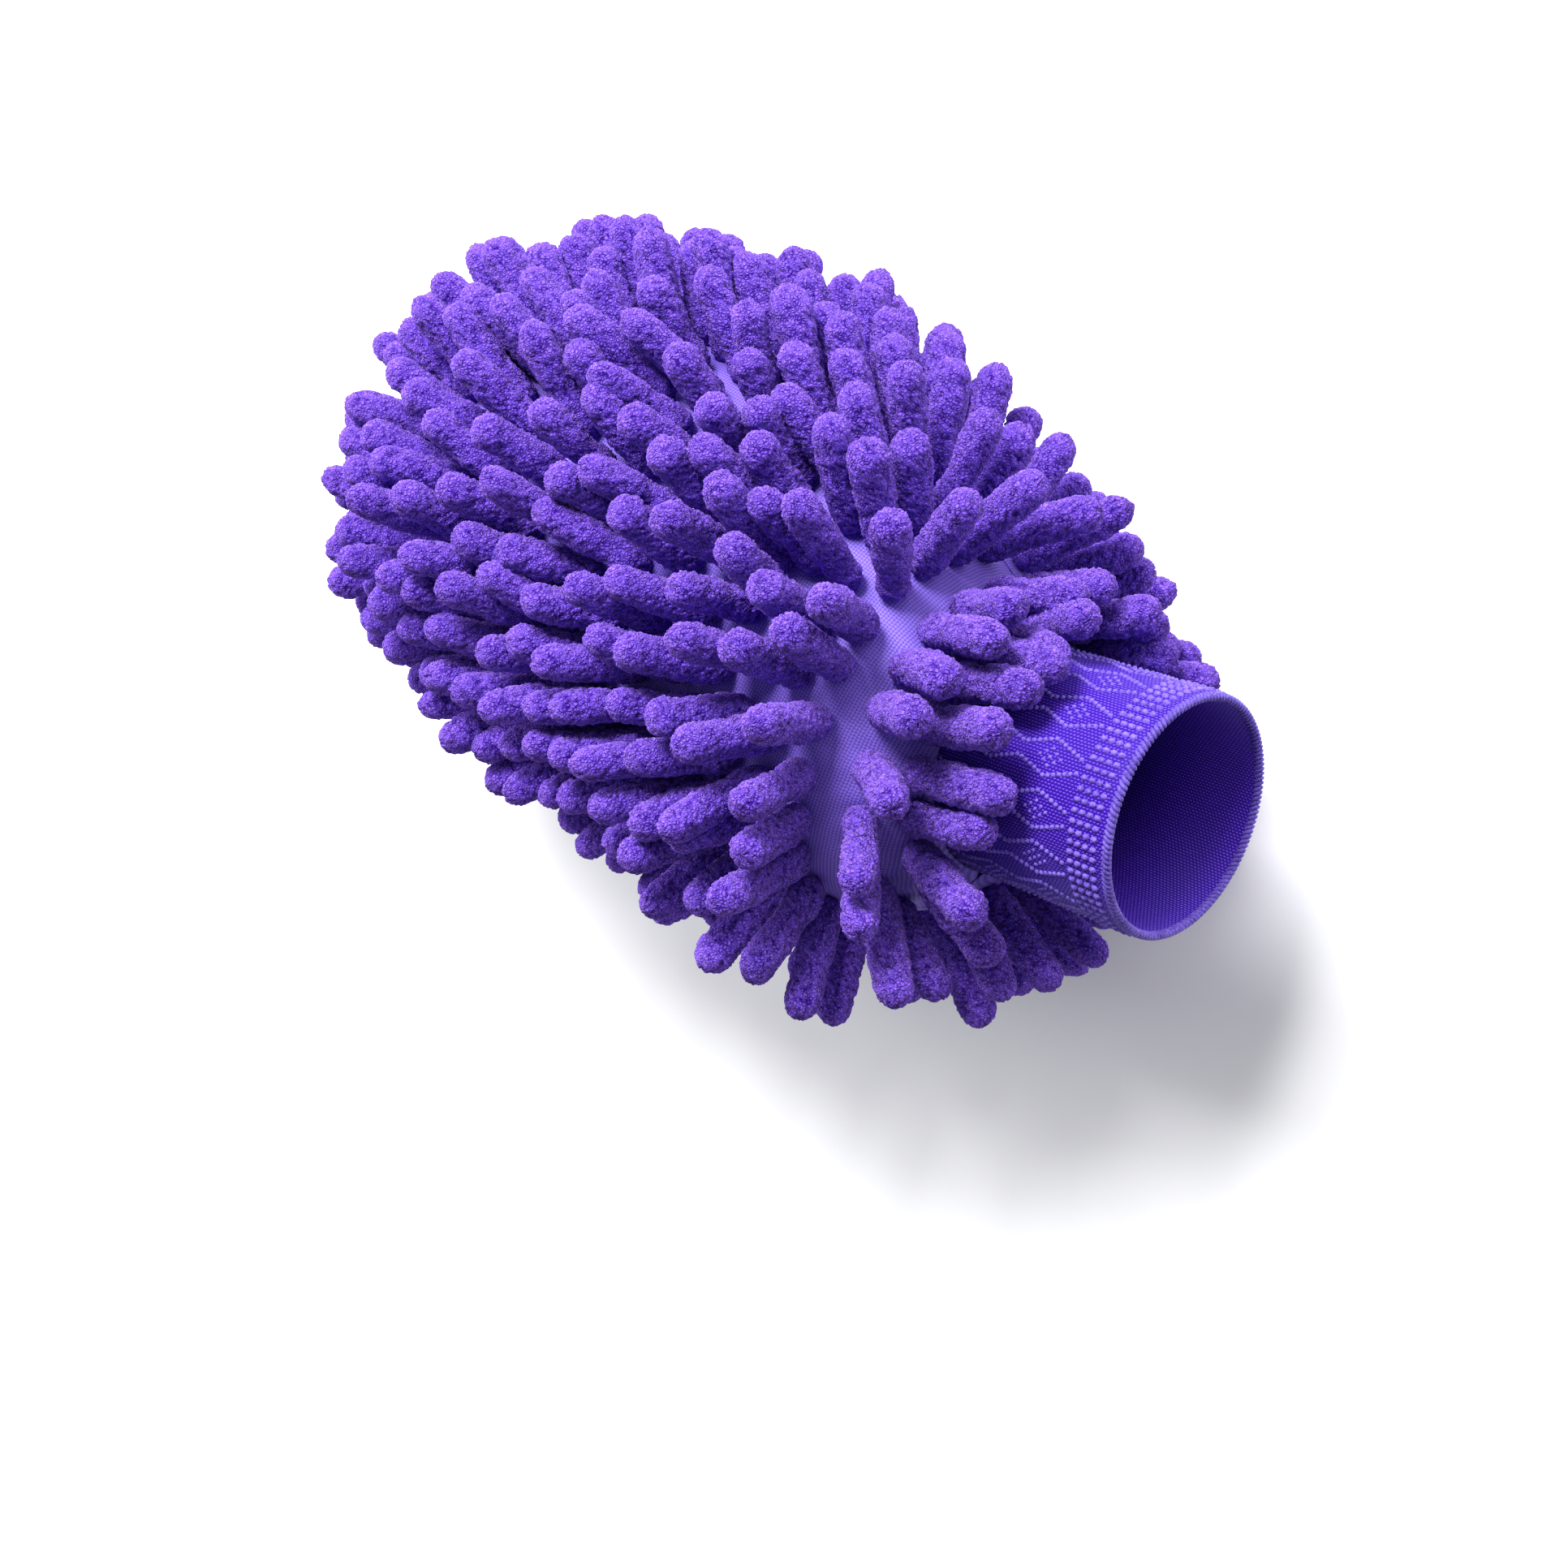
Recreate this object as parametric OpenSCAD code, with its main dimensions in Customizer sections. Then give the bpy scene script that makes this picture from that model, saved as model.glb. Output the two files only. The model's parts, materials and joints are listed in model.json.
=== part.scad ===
// Wash mitt, as it stands filled by a hand: two panels of chenille tufts sewn together round
// the sides and fingertips, and an elastic cuff sewn into the neck. It lies palm down on the
// XY plane, fingertips towards +Y and back towards +Z. Millimetres and degrees.

/* [Cloth body] */
// Half the width of the cloth at its widest
half_width = 50; // [42:0.5:62]
// How much farther the thumb side (+X) bulges at the middle of its length
thumb_bulge = 11; // [0:0.5:15]
// Half the thickness of the cloth over the hand
half_thick = 44; // [34:0.5:54]
// Length of the cloth from the cuff seam to the fingertips
cloth_len = 187; // [150:1:240]
// Length over which the cloth opens out from the neck
shoulder_len = 30; // [24:1:40]
// The same on the thumb side, which opens more slowly
thumb_shoulder_len = 64; // [30:1:80]
// Length over which the fingertip end closes
end_len = 54; // [38:1:65]
// Squareness of the section, where 2 is an ellipse
section_power = 2.25; // [2:0.05:3]
// Bluntness of the fingertip end, seen from above
end_power_wide = 2.3; // [2:0.1:4]
// Bluntness of the fingertip end, seen from the side
end_power_thick = 3.1; // [2:0.1:4]
// Thickness of the base cloth
cloth_wall = 1.8; // [1.2:0.1:3]

/* [Wrist] */
// Angle by which the cuff turns away from the hand
bend_angle = 20.5; // [0:0.5:30]
// Direction of that turn, from +X towards +Z
bend_roll = 45.5; // [0:1:90]
// Length of the body over which the turn is spread
bend_len = 68; // [50:1:90]

/* [Cuff] */
// Outer radius of the elastic cuff
cuff_r = 27.5; // [22:0.5:34]
// Thickness of the elastic webbing
cuff_wall = 1.8; // [1.2:0.1:2.6]
// Length of the cuff outside the neck
cuff_len = 47; // [35:1:70]
// Length of the cuff that is sewn inside the neck
cuff_tuck = 6; // [4:0.5:9]
// Height of the whipped edge at the mouth
edge_h = 2; // [1.4:0.1:3]
// Width of the seam that closes the webbing into a ring
join_w = 7; // [4:0.5:10]
// Depth of the join seam's groove in the webbing
join_depth = 0.8; // [0.5:0.1:1]

/* [Tufts] */
// Rows of tufts on each panel
tuft_rows = 19; // [12:1:20]
// Space between tufts along a row
tuft_pitch = 10.6; // [10:0.1:16]
// Length of a tuft from the cloth to its tip
tuft_len = 30; // [20:0.5:40]
// Radius of a tuft
tuft_r = 4.7; // [3.5:0.1:4.9]
// Radius of the stitched root of a tuft
root_r = 1.7; // [1.2:0.1:2.5]
// Distance from the neck to the first row, over the cloth
first_row = 6; // [5:0.5:12]
// Rows between the neck and the bare strip
neck_rows = 2; // [1:1:3]
// Distance from one of those rows to the next
neck_pitch = 10; // [8:0.5:14]
// Distance across the bare strip, from the last of those rows to the next
bare_strip = 14; // [12:0.5:24]
// Bare cloth on each side of the side seams
seam_gap = 2; // [1:0.5:6]
// How far the tufts under the palm are pressed up where the mitt lies on them
press_depth = 4.5; // [3:0.5:7]

/* [Seams] */
// Depth of the overlocked allowance inside the side seam
allowance = 5; // [3:0.5:8]
// Thickness of the overlocked allowance
allowance_t = 1.8; // [1.2:0.1:3]
// Height of the overlock ring at the inner end of the cuff
overlock_h = 2.4; // [1.6:0.1:3.5]
// Radius of a loose thread end
thread_r = 0.3; // [0.25:0.05:0.5]

/* [Hidden] */
row_digits = ["0", ""];
function row_name(side, row) =
    str(["back", "palm"][side], "_chenille_row_", row_digits[row < 9 ? 0 : 1], row + 1);

purple = [0.36, 0.22, 0.74];
lilac = [0.47, 0.34, 0.86];
violet = [0.27, 0.15, 0.62];

cloth_neck_r = cuff_r + cloth_wall;     // the neck of the cloth fits over the cuff
barrel_len = cloth_len - end_len;
shoulder_power = 0.85;                  // under 1, so the neck flares quickly
cuff_bore_r = cuff_r - cuff_wall;
bend_r = bend_angle > 0 ? bend_len / (bend_angle * PI / 180) : 0;

// ---- The cloth's surface: u runs 0 to 1 along the body and 1 to 2 over the fingertip end ----
function opened(y, over) = pow(sin(90 * min(1, max(0, y) / over)), shoulder_power);
function along_end(u) = u <= 1 ? 0 : pow(sin(90 * (u - 1)), 2 / end_power_thick);
function closed(u, power) = pow(max(0, 1 - pow(along_end(u), power)), 1 / power);
function height(u, inset) = min(u, 1) * barrel_len + along_end(u) * (end_len - inset);
function half_size(y, full, over, inset) = cloth_neck_r + (full - cloth_neck_r) * opened(y, over) - inset;
function bulge(y) = thumb_bulge * pow(sin(180 * y / cloth_len), 2);
function half_wide(u, t, inset) =
    let (y = height(u, inset), thumb = cos(t) > 0)
    half_size(y, half_width + (thumb ? bulge(y) : 0), thumb ? thumb_shoulder_len : shoulder_len, inset)
    * closed(u, end_power_wide);
function half_high(u, inset) =
    half_size(height(u, inset), half_thick, shoulder_len, inset) * closed(u, end_power_thick);
function power_at(u) = 2 + (section_power - 2) * opened(height(u, 0), shoulder_len);
function signed_pow(v, power) = sign(v) * pow(abs(v), power);
function straight(u, t, inset) =
    let (a = half_wide(u, t, inset), c = half_high(u, inset), e = power_at(u))
    [a * signed_pow(cos(t), 2 / e), height(u, inset), c * signed_pow(sin(t), 2 / e)];

// Direction straight out from the body's axis, square to the section's outline
function outward(u, t) =
    let (p = straight(u, t, 0), e = power_at(u), a = half_wide(u, t, 0), c = half_high(u, 0),
         g = [signed_pow(p.x / a, e - 1) / a, 0, signed_pow(p.z / c, e - 1) / c])
    g / norm(g);

// ---- The turn at the wrist ----
turn_to = [cos(bend_roll), 0, sin(bend_roll)];
turn_axis = [-sin(bend_roll), 0, cos(bend_roll)];
function turn_at(y) = bend_angle * min(1, max(0, bend_len - y) / bend_len);
function turned(v, ang) =
    (turn_to * cos(ang) + [0, sin(ang), 0]) * (v * turn_to)
    + (turn_to * -sin(ang) + [0, cos(ang), 0]) * v.y
    + turn_axis * (v * turn_axis);
function spine(y) =
    let (ang = turn_at(y))
    [0, bend_len - bend_r * sin(ang), 0] + turn_to * bend_r * (1 - cos(ang))
    + turned([0, min(0, y), 0], ang);
function worn(p) =
    bend_angle > 0 && p.y < bend_len ? spine(p.y) + turned([p.x, 0, p.z], turn_at(p.y)) : p;

// ---- Where the tufts are rooted and which way they point ----
function mean_wide(u) = (half_wide(u, 0, 0) + half_wide(u, 180, 0)) / 2;
function outline(u) = [(mean_wide(u) + half_high(u, 0)) / 2, height(u, 0)];
arc_steps = 120;
arc_table = [for (k = 0, s = 0; k <= arc_steps;
                  s = s + norm(outline(2 * (k + 1) / arc_steps) - outline(2 * k / arc_steps)), k = k + 1)
             [s, 2 * k / arc_steps]];
arc_len = arc_table[arc_steps][0];
last_row = arc_len - tuft_pitch * 0.95;  // the last row rings the middle of the fingertip end
strip_from = first_row + (neck_rows - 1) * neck_pitch;
strip_to = strip_from + bare_strip;
row_pitch = (last_row - strip_to) / (tuft_rows - neck_rows - 1);
function row_arc(row) =
    row < neck_rows ? first_row + row * neck_pitch : strip_to + (row - neck_rows) * row_pitch;
function row_u(row) = lookup(row_arc(row), arc_table);
function row_r(row) = norm([mean_wide(row_u(row)), half_high(row_u(row), 0)]) / sqrt(2);
function row_count(row) = max(3, round((PI * row_r(row) - 2 * seam_gap) / tuft_pitch));

// Angle of a tuft from the fingertip direction: back over the cuff at the neck, square to the
// cloth at the shoulder, leaning forwards along the hand, straight ahead at the fingertips
shoulder_u = shoulder_len / barrel_len;
fan = [[0, 164], [0.3 * shoulder_u, 152], [0.6 * shoulder_u, 128], [shoulder_u, 88],
       [2 * shoulder_u, 60], [1, 50], [1.5, 33], [2, 4]];
side_droop = 0.4 * shoulder_u;          // the thumb side's tufts fall over the cuff from farther up
function tuft_angle(u, t) = lookup(u - (u < 1 ? side_droop * pow(max(0, cos(t)), 2) : 0), fan);

// The back's tufts part along a line that crosses it from the neck to the thumb side
part_from = 75;
part_to = 40;
part_end_u = 0.6;
part_push = 1.2;
part_reach = 14;
function parted(u, t) =
    let (off = t - (part_from + (part_to - part_from) * u / part_end_u))
    u < part_end_u && t < 180 ? t + part_push * sign(off) * exp(-abs(off) / part_reach) : t;

stagger = 0.25;                         // every other row is shifted by this share of the pitch
function tuft_t(side, row, k) =
    let (gap = seam_gap / row_r(row) * 180 / PI,
         shift = (row % 2 == 0 ? stagger : -stagger) * (row_count(row) > 4 ? 1 : 0.5),
         t = gap + (180 - 2 * gap) * (k + 0.5 + shift) / row_count(row))
    parted(row_u(row), t + 180 * side);
root_sink = 0.7;                        // the root is stitched this far into the cloth
function tuft_base(side, row, k) = worn(straight(row_u(row), tuft_t(side, row, k), root_sink));
function free_dir(side, row, k) =
    let (u = row_u(row), t = tuft_t(side, row, k), ang = tuft_angle(u, t))
    turned(outward(u, t) * sin(ang) + [0, cos(ang), 0], turn_at(height(u, 0)));

// The mitt's weight folds over the tufts that would reach below the surface it lies on
reach = tuft_len - tuft_r;              // from the root to the centre of the round end
free_low = min([for (row = [0 : tuft_rows - 1]) for (k = [0 : row_count(row) - 1])
                (tuft_base(1, row, k) + free_dir(1, row, k) * reach).z]);
floor_z = free_low - tuft_r + press_depth;
fold_bias = 0.3;                        // they fold along the hand rather than sideways
function folded(dir, drop) =
    let (heading = [dir.x, dir.y + fold_bias * sign(dir.y)], h = sqrt(1 - drop * drop) / norm(heading))
    dir.z < drop ? [heading.x * h, heading.y * h, drop] : dir;
function tuft_dir(side, row, k) =
    folded(free_dir(side, row, k), (floor_z + tuft_r - tuft_base(side, row, k).z) / reach);
function tuft_tip(side, row, k) =       // centre of the round end
    tuft_base(side, row, k) + tuft_dir(side, row, k) * reach;

// ---- The box round it all, which puts the origin under its middle ----
tips = [for (side = [0, 1]) for (row = [0 : tuft_rows - 1]) for (k = [0 : row_count(row) - 1])
        tuft_tip(side, row, k)];
edge_proud = 0.3;                       // the whipped edge stands this far out of the webbing
cuff_out = turned([0, -1, 0], bend_angle);
mouth = spine(0) + cuff_out * (cuff_len + edge_h);
mouth_low_y = mouth.y - (cuff_r + edge_proud) * sqrt(1 - cuff_out.y * cuff_out.y);
x_low = min([for (p = tips) p.x]) - tuft_r;
x_high = max([for (p = tips) p.x]) + tuft_r;
y_high = max([for (p = tips) p.y]) + tuft_r;
module seated() translate([-(x_low + x_high) / 2, -(mouth_low_y + y_high) / 2, -floor_z]) children();

// Frame of the cuff: its origin is the middle of the neck seam and +Z leads out of the mouth
module at_cuff()
    seated() translate(spine(0)) rotate([0, -bend_roll, 0]) rotate([90, 0, 0])
        rotate([0, bend_angle, 0]) children();

// ---- Cloth panels ----
section_steps = 18;
neck_stations = 7;
body_stations = 9;
end_stations = 8;
stations = concat([for (i = [0 : neck_stations]) shoulder_u * pow(i / neck_stations, 1.5)],
                  [for (i = [1 : body_stations]) shoulder_u + (1 - shoulder_u) * i / body_stations],
                  [for (i = [1 : end_stations - 1]) 1 + i / end_stations]);

// A half shell: an outer and an inner grid of points, each closed by one point at the fingertips
module panel(side) {
    rings = len(stations);
    across = section_steps + 1;
    grid = [for (inset = [0, cloth_wall]) for (u = stations) for (i = [0 : section_steps])
            worn(straight(u, 180 * side + 180 * i / section_steps, inset))];
    tops = [for (inset = [0, cloth_wall]) straight(2, 0, inset)];
    inner = rings * across;
    top = 2 * inner;
    skins = [for (j = [0 : rings - 2]) for (i = [0 : section_steps - 1])
             let (a = j * across + i, b = a + across)
             each [[a, b, b + 1], [a, b + 1, a + 1],
                   [inner + a, inner + b + 1, inner + b], [inner + a, inner + a + 1, inner + b + 1]]];
    caps = [for (i = [0 : section_steps - 1]) let (a = (rings - 1) * across + i)
            each [[a, top, a + 1], [inner + a, inner + a + 1, top + 1]]];
    neck = [for (i = [0 : section_steps - 1])
            each [[i, i + 1, inner + i + 1], [i, inner + i + 1, inner + i]]];
    sides = [for (j = [0 : rings - 2])
             let (a = j * across, b = a + across, c = a + section_steps, d = c + across)
             each [[a, inner + a, inner + b], [a, inner + b, b],
                   [c, inner + d, inner + c], [c, d, inner + d]]];
    a = (rings - 1) * across;
    b = a + section_steps;
    ends = [[a, inner + a, top + 1], [a, top + 1, top], [b, top + 1, inner + b], [b, top, top + 1]];
    seated() polyhedron(concat(grid, tops), concat(skins, caps, neck, sides, ends));
}

module back_cloth() color(lilac) panel(0);

module palm_cloth() color(lilac) panel(1);

// ---- Side seam: the overlocked allowance that stands inside, round the sides and fingertips ----
seam_start = 0.12;
seam_sink = 0.15;                       // the allowance grows out of the cloth from this far in it
seam_steps = 30;
function seam_edge(w) =                 // w runs -1 at one side's neck to 1 at the other's
    let (p = straight(2 - (2 - seam_start) * abs(w), w < 0 ? 0 : 180, cloth_wall))
    [p.x, p.y, 0];
function seam_inward(w) =
    let (e = 0.01, d = seam_edge(min(1, w + e)) - seam_edge(max(-1, w - e)), n = d / norm(d))
    [-n.y, n.x, 0];
module side_seam_overlock() {
    t = allowance_t / 2;
    ws = [for (i = [-seam_steps : seam_steps]) sign(i) * (1 - pow(1 - abs(i) / seam_steps, 1.3))];
    path = [for (w = ws) each [for (q = [[0, t], [allowance, t], [allowance, -t], [0, -t]])
            worn(seam_edge(w) + seam_inward(w) * (q.x - seam_sink) + [0, 0, q.y])]];
    n = len(ws);
    walls = [for (j = [0 : n - 2]) for (i = [0 : 3])
             let (a = 4 * j + i, b = 4 * j + (i + 1) % 4)
             each [[a, b, b + 4], [a, b + 4, a + 4]]];
    last = 4 * (n - 1);
    ends = [[3, 2, 1], [3, 1, 0], [last, last + 1, last + 2], [last, last + 2, last + 3]];
    color(violet) seated() polyhedron(path, concat(walls, ends));
}

// ---- Tufts ----
dome_step = 18;
root_len = tuft_r;
// A tuft is round: a stitched root that swells to its full radius, and a round end
module tuft()
    rotate_extrude($fn = 24)
        polygon(concat([[0, 0], [root_r, 0], [tuft_r, root_len]],
            [for (a = [0 : dome_step : 89])
             [tuft_r * cos(a), tuft_len - tuft_r + tuft_r * sin(a)]],
            [[0, tuft_len]]));

module chenille_row(side, row) {
    for (k = [0 : row_count(row) - 1]) {
        dir = tuft_dir(side, row, k);
        color(row % 2 == 0 ? purple : violet) seated() translate(tuft_base(side, row, k))
            rotate([0, acos(dir.z), atan2(dir.y, dir.x)]) tuft();
    }
}

// ---- Cuff ----
seam_clear = 0.1;                       // what is sewn into the webbing stays this clear of the wrist
groove_cut = 1;                         // the groove's cut starts this far inside the bore
module ring(r_in, r_out, from, to)
    rotate_extrude($fn = 96) translate([r_in, from]) square([r_out - r_in, to - from]);

module join_slab() translate([0, -join_w / 2, -cuff_tuck]) cube([cuff_r, join_w, cuff_len + cuff_tuck]);

// The webbing, with a groove for the join seam in its inner wall
module cuff_band()
    color(purple) at_cuff() difference() {
        ring(cuff_bore_r, cuff_r, -cuff_tuck, cuff_len);
        intersection() {
            join_slab();
            ring(cuff_bore_r - groove_cut, cuff_bore_r + join_depth, -cuff_tuck, cuff_len);
        }
    }

module cuff_join_seam()
    color(violet) at_cuff() intersection() {
        join_slab();
        ring(cuff_bore_r + seam_clear, cuff_bore_r + join_depth, -cuff_tuck, cuff_len);
    }

// Whipped edge on the rim of the mouth: straight sides under a round back
edge_side = 0.4 * edge_h;
module cuff_edge_stitching()
    color(lilac) at_cuff() rotate_extrude($fn = 96) translate([0, cuff_len])
        polygon(concat([[cuff_bore_r + seam_clear, 0]],
            [for (a = [180 : -20 : 0])
             [(cuff_bore_r + seam_clear + cuff_r + edge_proud) / 2
                  + (cuff_wall - seam_clear + edge_proud) / 2 * cos(a),
              edge_side + (edge_h - edge_side) * sin(a)]],
            [[cuff_r + edge_proud, 0]]));

// The neck seam: the cloth's turned edge round the webbing, and the overlock over both ends
module cuff_attach_seam() {
    clear_of_neck = 1.4;
    turned_edge = 0.4;                  // how far the turned edge stays under the cloth's outside
    turned_r = cloth_neck_r - turned_edge;
    color(violet) at_cuff()
        rotate_extrude($fn = 96)
            polygon([[cuff_r, -clear_of_neck], [cuff_r, -cuff_tuck],
                     [cuff_bore_r + seam_clear, -cuff_tuck],
                     [cuff_bore_r + seam_clear, -cuff_tuck - overlock_h],
                     [turned_r, -cuff_tuck - overlock_h], [turned_r, -clear_of_neck]]);
}

// ---- Loose ends of sewing thread at the neck seam: each is an arc ----
thread_at = [[0.03, 62, 20], [0.035, 56, 75], [0.03, 44, -30]];  // u, t, turn about the cloth
thread_bend_r = 4;
module loose_thread_ends()
    for (q = thread_at) {
        base = worn(straight(q[0], q[1], 0.4));
        out = turned(outward(q[0], q[1]), turn_at(0));
        color("white") seated() translate(base) rotate([0, acos(out.z), atan2(out.y, out.x)])
            rotate(q[2]) rotate([90, 0, 0]) translate([-thread_bend_r, 0, 0])
            rotate_extrude(angle = 120, $fn = 32) translate([thread_bend_r, 0])
            circle(r = thread_r, $fn = 16);
    }

back_cloth();
palm_cloth();
side_seam_overlock();
cuff_band();
cuff_edge_stitching();
cuff_join_seam();
cuff_attach_seam();
loose_thread_ends();
for (side = [0, 1]) for (row = [0 : tuft_rows - 1])
    chenille_row(side, row);
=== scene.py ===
"""Chenille wash mitt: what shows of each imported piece, made in an add-on's layout and run as a script."""
import json
import math
import random

import bmesh
import bpy
import numpy as np
from bpy.props import FloatProperty, FloatVectorProperty, IntProperty, PointerProperty
from bpy.types import Operator, Panel, PropertyGroup
from mathutils import Matrix, Vector, noise
from mathutils.bvhtree import BVHTree


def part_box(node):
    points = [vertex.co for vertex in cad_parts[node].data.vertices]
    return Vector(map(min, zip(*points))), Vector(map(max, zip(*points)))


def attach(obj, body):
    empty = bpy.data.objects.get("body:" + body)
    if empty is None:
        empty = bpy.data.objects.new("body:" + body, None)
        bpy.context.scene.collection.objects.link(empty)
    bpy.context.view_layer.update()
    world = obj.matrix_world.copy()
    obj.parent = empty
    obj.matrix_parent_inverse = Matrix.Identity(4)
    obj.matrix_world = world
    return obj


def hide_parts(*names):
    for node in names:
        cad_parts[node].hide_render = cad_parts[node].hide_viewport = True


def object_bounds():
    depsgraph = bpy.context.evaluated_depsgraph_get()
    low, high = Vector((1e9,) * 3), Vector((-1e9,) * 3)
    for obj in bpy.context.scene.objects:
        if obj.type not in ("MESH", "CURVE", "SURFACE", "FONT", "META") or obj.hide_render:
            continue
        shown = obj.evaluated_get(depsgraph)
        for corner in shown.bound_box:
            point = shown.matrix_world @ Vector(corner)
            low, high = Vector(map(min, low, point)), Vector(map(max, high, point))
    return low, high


bl_info = {
    "name": "Chenille Wash Mitt",
    "version": (1, 0, 0),
    "blender": (4, 5, 0),
    "location": "View3D > Sidebar > Wash Mitt",
    "description": "Tufts, cloth, elastic cuff and seams of a microfibre wash mitt",
    "category": "Add Mesh",
}

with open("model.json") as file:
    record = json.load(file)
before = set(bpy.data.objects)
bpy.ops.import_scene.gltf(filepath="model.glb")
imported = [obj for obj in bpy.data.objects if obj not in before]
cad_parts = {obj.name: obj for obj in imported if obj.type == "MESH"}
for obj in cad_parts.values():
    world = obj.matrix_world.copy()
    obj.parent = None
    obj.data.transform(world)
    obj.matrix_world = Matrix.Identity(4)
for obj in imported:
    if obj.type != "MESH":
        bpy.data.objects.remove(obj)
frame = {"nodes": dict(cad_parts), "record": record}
CAD_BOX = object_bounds()
NODES = frame["nodes"]
WRIST = next(m for m in frame["record"]["mounts"] if m["name"] == "wrist_opening")
CLOTH_NODES = ("back_cloth", "palm_cloth")
ROW_NODES = sorted(name for name in NODES if "_chenille_row_" in name)
MM = 0.001


# ---- Sizes and colours -----------------------------------------------------------------------

class TuftSettings(PropertyGroup):
    radius: FloatProperty(
        name="Radius", description="Radius of a tuft over its pile", default=4.55 * MM, unit="LENGTH")
    around: IntProperty(name="Points around", description="Points round a tuft", default=38)
    along: IntProperty(name="Rings", description="Rings from a tuft's tip to its root", default=48)
    kinds: IntProperty(name="Kinds", description="Different lumpy tufts to draw from", default=8)
    clump: FloatProperty(
        name="Clump", description="Height of the pile's clumps", default=0.23 * MM, unit="LENGTH")
    curve: FloatProperty(
        name="Curve", description="How far a tuft's middle may bow", default=5.0 * MM, unit="LENGTH")
    lean: FloatProperty(
        name="Lean", description="How far a tuft's tip may stray", default=2.2 * MM, unit="LENGTH")
    drift: FloatProperty(
        name="Drift", description="How far neighbouring tufts lean the same way", default=11 * MM,
        unit="LENGTH")
    vary: FloatProperty(
        name="Variation", description="Share by which tufts differ in length", default=0.11)
    # The pile's colours: the tip colour is painted light on the raised clumps, and the gap colour is
    # painted shade in the cracks between them, with a random tone mixed in.
    tip: FloatVectorProperty(
        name="Pile tips", description="Colour of the clumps' tips", subtype="COLOR",
        default=(0.262, 0.122, 0.90), min=0, max=1)
    gap_shade_and_tone: FloatVectorProperty(
        name="Pile gaps", description="Colour between the clumps", subtype="COLOR",
        default=(0.024, 0.002, 0.19), min=0, max=1)


class ClothSettings(PropertyGroup):
    pleat: FloatProperty(
        name="Pleats", description="Height of the gathers at the neck", default=0.5 * MM, unit="LENGTH")
    pleats: IntProperty(name="Pleat count", description="Gathers round the neck", default=34)
    pleat_start: FloatProperty(
        name="Pleat start", description="How far from the cuff the gathers are full", default=4 * MM,
        unit="LENGTH")
    pleat_reach: FloatProperty(
        name="Pleat reach", description="How far from the cuff the gathers fade", default=9 * MM,
        unit="LENGTH")
    girth_radius: FloatProperty(
        name="Girth radius", description="Mean radius that the knit's rows are measured on",
        default=47 * MM, unit="LENGTH")
    base: FloatVectorProperty(
        name="Cloth", description="Colour of the knitted base cloth", subtype="COLOR",
        default=(0.20, 0.11, 0.66), min=0, max=1)
    cut: FloatVectorProperty(
        name="Cut", description="Width and length of a panel before it is sewn", size=2, unit="LENGTH",
        default=(0.160, 0.222))
    cut_area: FloatProperty(
        name="Cut area", description="Flat area of a panel, with its narrow neck and round end",
        default=0.029, unit="AREA")


class CuffSettings(PropertyGroup):
    wall: FloatProperty(
        name="Webbing", description="Thickness of the elastic webbing", default=1.6 * MM, unit="LENGTH")
    repeats: IntProperty(name="Repeats", description="Pattern repeats round the cuff", default=15)
    border: FloatProperty(
        name="Border", description="Width of the beaded border at the mouth", default=9.6 * MM,
        unit="LENGTH")
    ground: FloatVectorProperty(
        name="Ground", description="Colour of the webbing's ground", subtype="COLOR",
        default=(0.028, 0.0, 0.28), min=0, max=1)
    bead: FloatVectorProperty(
        name="Beads", description="Colour of the raised pattern threads", subtype="COLOR",
        default=(0.20, 0.10, 0.76), min=0, max=1)


class StageSettings(PropertyGroup):
    azimuth: FloatProperty(
        name="Azimuth", description="Direction of view, from +Y towards -X", default=math.radians(31.19),
        subtype="ANGLE")
    elevation: FloatProperty(
        name="Elevation", description="Height of the view", default=math.radians(58.91), subtype="ANGLE")
    roll: FloatProperty(
        name="Roll", description="Turn of the camera about its view", default=math.radians(89.41),
        subtype="ANGLE")
    distance: FloatProperty(
        name="Distance", description="From the camera to the aim", default=0.4372, unit="LENGTH")
    aim: FloatVectorProperty(
        name="Aim", description="What the camera looks at, from the middle of the object",
        subtype="TRANSLATION", unit="LENGTH", default=(-0.0363, -0.0255, -0.0018))
    lens: FloatProperty(name="Lens", description="Focal length in millimetres", default=39.2)
    floor: FloatVectorProperty(
        name="Floor", description="Colour of the floor", subtype="COLOR", default=(0.86, 0.86, 0.87),
        min=0, max=1)


# ---- Shader maths ----------------------------------------------------------------------------

class Value:
    """A shader socket. Python's arithmetic on it adds Math nodes."""

    def __init__(self, finish, socket):
        self.finish = finish
        self.socket = socket

    def math(self, operation, *others):
        return self.finish.node("ShaderNodeMath", {"operation": operation}, dict(enumerate(others)))[0]

    def __add__(self, other):
        return self.math("ADD", self, other)

    def __radd__(self, other):
        return self.math("ADD", other, self)

    def __sub__(self, other):
        return self.math("SUBTRACT", self, other)

    def __rsub__(self, other):
        return self.math("SUBTRACT", other, self)

    def __mul__(self, other):
        return self.math("MULTIPLY", self, other)

    def __rmul__(self, other):
        return self.math("MULTIPLY", other, self)

    def __truediv__(self, other):
        return self.math("DIVIDE", self, other)

    def ramp(self, low, high):
        """0 under low, 1 over high and smooth between."""
        return self.finish.node(
            "ShaderNodeMapRange", {"interpolation_type": "SMOOTHSTEP"}, {0: self, 1: low, 2: high})[0]

    def wave(self):
        return self.math("SINE", self)

    def fraction(self):
        return self.math("FRACT", self)

    def floor(self):
        return self.math("FLOOR", self)

    def size(self):
        return self.math("ABSOLUTE", self)


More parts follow.
